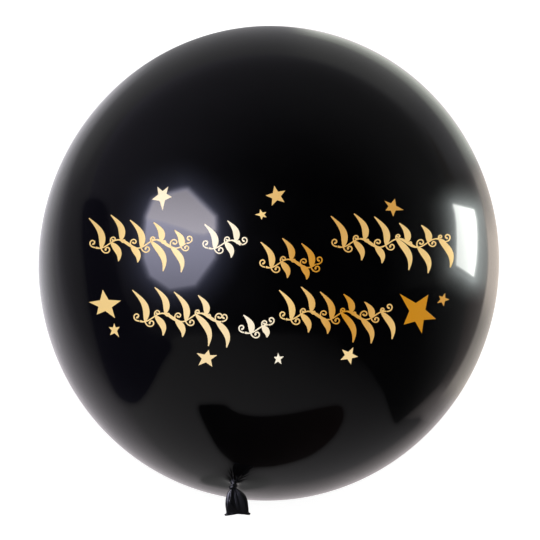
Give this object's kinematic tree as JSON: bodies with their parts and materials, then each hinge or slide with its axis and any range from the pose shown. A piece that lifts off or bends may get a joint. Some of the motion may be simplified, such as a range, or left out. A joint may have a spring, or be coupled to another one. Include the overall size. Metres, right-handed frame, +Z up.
{
  "type": "gender reveal balloon",
  "caption": "Giant round latex party balloon, blown up and knotted with its own neck, to be popped to reveal what it holds.",
  "frame": {"origin": "middle of the small flat spot that the balloon lies on, at floor level", "axes": "+Z up, out of the floor; the balloon's long axis lies along Y, with the knot and the tail at the -Y end; +X to the right as seen from the knot"},
  "size_m": [0.9, 1.0093, 0.8972],
  "materials": {
    "black_latex": "glossy",
    "gold_print": "metallic ink"
  },
  "bodies": {
    "root": {"balloon": "black_latex"}
  },
  "joints": []
}
